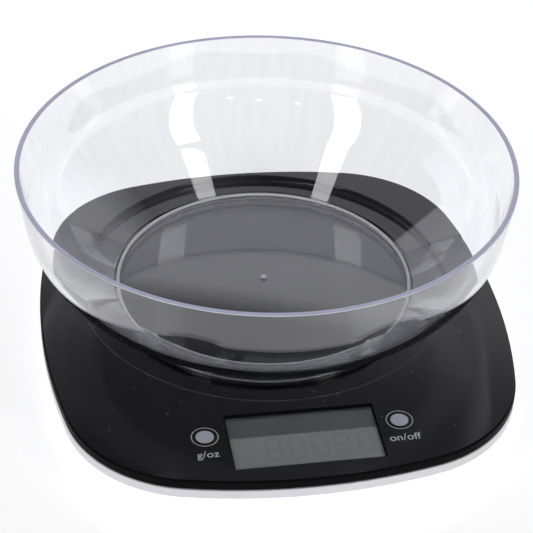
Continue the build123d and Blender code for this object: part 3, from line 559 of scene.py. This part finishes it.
# ---------------------------------------------------------------- unlit digits
# Five seven-stroke digits in the liquid crystal, faintly darker than the glass while it is off.
# Each stroke is a thin six-sided film.
DIGIT_COUNT = 5
DIGIT_PITCH = 9.4
DIGIT_WIDTH = 6.9
DIGIT_HEIGHT = 13.5
DIGITS_SHIFT = (5.5, -4.6)
DIGIT_BRIGHTNESS = 0.9
STROKE_WIDTH = 1.35
STROKE_GAP = 0.3
STROKE_FILM = 0.03 * MM


def stroke(form, middle, length, upright, base):
    """One six-sided stroke of a digit, round its middle in millimetres."""
    half, wide = (length - STROKE_GAP) / 2, STROKE_WIDTH / 2
    outline = [(-half, 0), (-half + wide, wide), (half - wide, wide), (half, 0), (half - wide, -wide),
               (-half + wide, -wide)]
    if upright:
        outline = [(-across, along) for along, across in outline]
    corners = [((middle[0] + across) * MM, (middle[1] + up) * MM) for across, up in outline]
    under = [form.verts.new((*corner, base)) for corner in corners]
    over = [form.verts.new((*corner, base + STROKE_FILM)) for corner in corners]
    form.faces.new(over)
    form.faces.new(list(reversed(under)))
    for here in range(len(corners)):
        there = (here + 1) % len(corners)
        form.faces.new((under[here], under[there], over[there], over[here]))


low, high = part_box("lcd_panel")
digits_x = (low[0] + high[0]) / 2 / MM + DIGITS_SHIFT[0]
digits_y = (low[1] + high[1]) / 2 / MM + DIGITS_SHIFT[1]
reach, rise = (DIGIT_WIDTH - STROKE_WIDTH) / 2, (DIGIT_HEIGHT - STROKE_WIDTH) / 2
form = bmesh.new()
for digit in range(DIGIT_COUNT):
    digit_x = digits_x + (digit - (DIGIT_COUNT - 1) / 2) * DIGIT_PITCH
    for level in (-1, 0, 1):
        stroke(form, (digit_x, digits_y + level * rise), 2 * reach, False, high[2])
    for side in (-1, 1):
        for level in (-0.5, 0.5):
            stroke(form, (digit_x + side * reach, digits_y + level * rise), rise, True, high[2])
# The strokes carry the same painted reflection band as the glass, a little dimmer.
thin_piece("unlit_segments", form, panel_with_painted_reflection("unlit_segment", DIGIT_BRIGHTNESS),
           "platform")

# ---------------------------------------------------------------- bowl
# Clear styrene moulded in one shot: floor, foot ring, cone, round shoulder and steep wall, with
# the gate's stub in the middle. It is only set down on the cover. Its rim's cut edge is pale violet:
# the styrene's own tint plus a painted glow of light piped along the wall. The foot is scuffed white,
# brightened by painted light, and the rim's outer edge, the floor's inner fillet and the stub carry
# painted highlights.
SEGMENTS = 256
BOWL_RIM_RADIUS = 107.5
BOWL_HEIGHT = 67.0
BOWL_WALL = 2.3
BOWL_CONE_RADIUS = 65.5
BOWL_CONE_HEIGHT = 2.2
BOWL_CONE_SLOPE = math.radians(38.5)
BOWL_WALL_DRAFT = math.radians(8.5)
BOWL_SHOULDER = 40.0
BOWL_FLOOR_UNDER = 2.5
BOWL_FLOOR_TOP = 4.5
BOWL_RIM_ROUND = 0.6
RING_RADIUS = 67.8
RING_WIDTH = 2.0
RING_ROUND = 0.5
FLOOR_ROUND = 1.5
STUB_RADIUS = 1.3
STUB_HEIGHT = 0.7
EASING = 0.4
ARC_STEP = math.radians(4)
SHARP_ANGLE = math.radians(40)


def cone_radius(inset, height):
    """The cone's radius at a height, `inset` inside its outer surface."""
    outward = (height - BOWL_CONE_HEIGHT) / math.tan(BOWL_CONE_SLOPE)
    return BOWL_CONE_RADIUS - inset / math.sin(BOWL_CONE_SLOPE) + outward


def wall_radius(inset, height):
    """The steep wall's radius at a height, `inset` inside its outer surface."""
    inward = (BOWL_HEIGHT - height) * math.tan(BOWL_WALL_DRAFT)
    return BOWL_RIM_RADIUS - inset / math.cos(BOWL_WALL_DRAFT) - inward


def knee(inset):
    """Where the cone's line meets the wall's line, `inset` inside the outer surface."""
    apart = wall_radius(inset, 0) - cone_radius(inset, 0)
    height = apart / (1 / math.tan(BOWL_CONE_SLOPE) - math.tan(BOWL_WALL_DRAFT))
    return cone_radius(inset, height), height


def rounded(corners):
    """A closed outline from (across, up, round) corners, with a point close to each end of its runs."""
    points = []
    for turn in range(len(corners)):
        before, here, after = (Vector(corners[spot % len(corners)][:2])
                               for spot in (turn - 1, turn, turn + 1))
        size = corners[turn][2]
        inward, outward = (before - here).normalized(), (after - here).normalized()
        if not size:
            points.append(here)
            continue
        half = math.acos(max(-1, min(1, inward.dot(outward)))) / 2
        centre = here + (inward + outward).normalized() * size / math.sin(half)
        first, last = here + inward * size / math.tan(half), here + outward * size / math.tan(half)
        if (first - before).length > 3 * EASING:
            points.append(first + inward * EASING)
        sweep = math.pi - 2 * half
        count = max(6, round(sweep / ARC_STEP))
        start, end = first - centre, last - centre
        for arc in range(count + 1):
            share = arc / count
            spoke = (start * math.sin((1 - share) * sweep) + end * math.sin(share * sweep)) / math.sin(sweep)
            points.append(centre + spoke)
        if (last - after).length > 3 * EASING:
            points.append(last + outward * EASING)
    return points


ring_meets = BOWL_CONE_HEIGHT + (RING_RADIUS - BOWL_CONE_RADIUS) * math.tan(BOWL_CONE_SLOPE)
floor_corner = cone_radius(BOWL_WALL, BOWL_FLOOR_TOP)
section = rounded([
    (RING_RADIUS, 0, RING_ROUND),
    (RING_RADIUS, ring_meets, 0),
    (*knee(0), BOWL_SHOULDER),
    (BOWL_RIM_RADIUS, BOWL_HEIGHT, BOWL_RIM_ROUND),
    (wall_radius(BOWL_WALL, BOWL_HEIGHT), BOWL_HEIGHT, BOWL_RIM_ROUND),
    (*knee(BOWL_WALL), BOWL_SHOULDER - BOWL_WALL),
    (floor_corner, BOWL_FLOOR_TOP, FLOOR_ROUND),
    (STUB_RADIUS, BOWL_FLOOR_TOP, 0),
    (STUB_RADIUS, BOWL_FLOOR_TOP + STUB_HEIGHT, 0.8 * STUB_HEIGHT),
    (0, BOWL_FLOOR_TOP + STUB_HEIGHT, 0),
    (0, BOWL_FLOOR_UNDER, 0),
    (RING_RADIUS - RING_WIDTH, BOWL_FLOOR_UNDER, 0),
    (RING_RADIUS - RING_WIDTH, 0, RING_ROUND),
])
low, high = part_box("bowl")
bowl_place = ((low[0] + high[0]) / 2, (low[1] + high[1]) / 2, low[2])
form = bmesh.new()
loops = []
for point in section:
    if point.x < 1e-6:
        loops.append([form.verts.new((bowl_place[0], bowl_place[1], bowl_place[2] + point.y * MM))])
    else:
        loops.append([form.verts.new((bowl_place[0] + point.x * MM * math.cos(2 * math.pi * step / SEGMENTS),
                                      bowl_place[1] + point.x * MM * math.sin(2 * math.pi * step / SEGMENTS),
                                      bowl_place[2] + point.y * MM)) for step in range(SEGMENTS)])
for here, there in zip(loops, loops[1:] + loops[:1]):
    if len(here) == 1 and len(there) == 1:
        continue
    for step in range(SEGMENTS):
        after = (step + 1) % SEGMENTS
        if len(here) == 1:
            form.faces.new((here[0], there[after], there[step]))
        elif len(there) == 1:
            form.faces.new((here[step], here[after], there[0]))
        else:
            form.faces.new((here[step], here[after], there[after], there[step]))
bmesh.ops.recalc_face_normals(form, faces=form.faces)
mesh = bpy.data.meshes.new("clear_bowl")
form.to_mesh(mesh)
form.free()
mesh.shade_smooth()
mesh.set_sharp_from_angle(angle=SHARP_ANGLE)

CLEAR_LIGHT = (0.93, 0.934, 0.948)
CLEAR_DARK = (0.90, 0.905, 0.925)
CLEAR_INDEX = 1.59
FLOW_LINES = 26.0
FLOW_CLIMB = 2.0
FLAT = (1, 1, 0.0001)
EDGE_INDEX = 1.57
EDGE_VIOLET_AND_GLOW = (0.72, 0.76, 0.99)
EDGE_UNEVENNESS = 0.92
EDGE_PATCHES = 45.0
EDGE_DEPTH = 0.35
EDGE_START = 0.25
SCUFF_AND_HIGHLIGHT_WHITE = (0.97, 0.975, 0.99)
SCUFF_AND_HIGHLIGHT_UNEVENNESS = 0.85
SCUFF_AND_HIGHLIGHT_PATCHES = 500.0
RIM_HIGHLIGHT_DEPTH = 0.5
FOOT_SCUFF_AND_LIGHT_HEIGHT = 0.06
FLOOR_LINE = 0.7
FLOOR_LINE_HEIGHTS = (-0.1, 0.9)

glass, tree, shader, place = finish_material("clear_styrene")
away = node(tree, "ShaderNodeVectorMath", {0: place, 1: (bowl_place[0], bowl_place[1], 0)},
            operation="SUBTRACT").outputs[0]
level = node(tree, "ShaderNodeVectorMath", {0: away, 1: FLAT}, operation="MULTIPLY").outputs[0]
spoke = node(tree, "ShaderNodeVectorMath", {0: level}, operation="NORMALIZE").outputs[0]
flow = node(tree, "ShaderNodeVectorMath", {0: away, 1: (0, 0, FLOW_CLIMB), 2: spoke},
            operation="MULTIPLY_ADD").outputs[0]
feed(tree, shader, Base_Color=varied(tree, noise(tree, flow, FLOW_LINES, 2.0), CLEAR_DARK, CLEAR_LIGHT),
     Transmission_Weight=1.0, IOR=CLEAR_INDEX, Roughness=0.0)

# Painted glow: the rim's cut edge gets a pale violet that is the styrene's own tint plus painted light piped
# along the wall.
rim_tint_and_painted_glow, tree, shader, place = finish_material("styrene_edge_tint_and_painted_glow")
duller = tuple(EDGE_UNEVENNESS * part for part in EDGE_VIOLET_AND_GLOW)
feed(tree, shader, Base_Color=varied(tree, noise(tree, place, EDGE_PATCHES), duller, EDGE_VIOLET_AND_GLOW),
     Transmission_Weight=0.2, IOR=EDGE_INDEX, Roughness=0.15)

# Scuff and painted light: a pale white that is a scuff brightened by painted light on the foot's bottom, and
# painted highlights on the rim's outer edge, the floor's fillet and the stub.
scuff_and_painted_light, tree, shader, place = finish_material("styrene_scuff_and_painted_light")
duller = tuple(SCUFF_AND_HIGHLIGHT_UNEVENNESS * part for part in SCUFF_AND_HIGHLIGHT_WHITE)
feed(tree, shader, Base_Color=varied(tree, noise(tree, place, SCUFF_AND_HIGHLIGHT_PATCHES), duller, SCUFF_AND_HIGHLIGHT_WHITE),
     Transmission_Weight=0.1, IOR=EDGE_INDEX, Roughness=0.5)

for material in (glass, rim_tint_and_painted_glow, scuff_and_painted_light):
    mesh.materials.append(material)
# Faces get the violet rim with its painted glow, or the white of the foot's scuff and the painted highlights.
for face in mesh.polygons:
    across = math.hypot(face.center.x - bowl_place[0], face.center.y - bowl_place[1]) / MM
    up = (face.center.z - bowl_place[2]) / MM
    above_floor = up - BOWL_FLOOR_TOP
    at_outer_edge = across > BOWL_RIM_RADIUS - EDGE_START
    rim_outside = at_outer_edge and up > BOWL_HEIGHT - RIM_HIGHLIGHT_DEPTH
    floor_line = (abs(across - floor_corner) < FLOOR_LINE
                  and FLOOR_LINE_HEIGHTS[0] < above_floor < FLOOR_LINE_HEIGHTS[1])
    stub = across < STUB_RADIUS and above_floor > 0
    if up > BOWL_HEIGHT - EDGE_DEPTH and across < BOWL_RIM_RADIUS - EDGE_START:
        face.material_index = 1
    elif up < FOOT_SCUFF_AND_LIGHT_HEIGHT or rim_outside or floor_line or stub:
        face.material_index = 2
bowl = bpy.data.objects.new("clear_bowl", mesh)
scene.collection.objects.link(bowl)
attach(bowl, "bowl")
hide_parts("bowl")
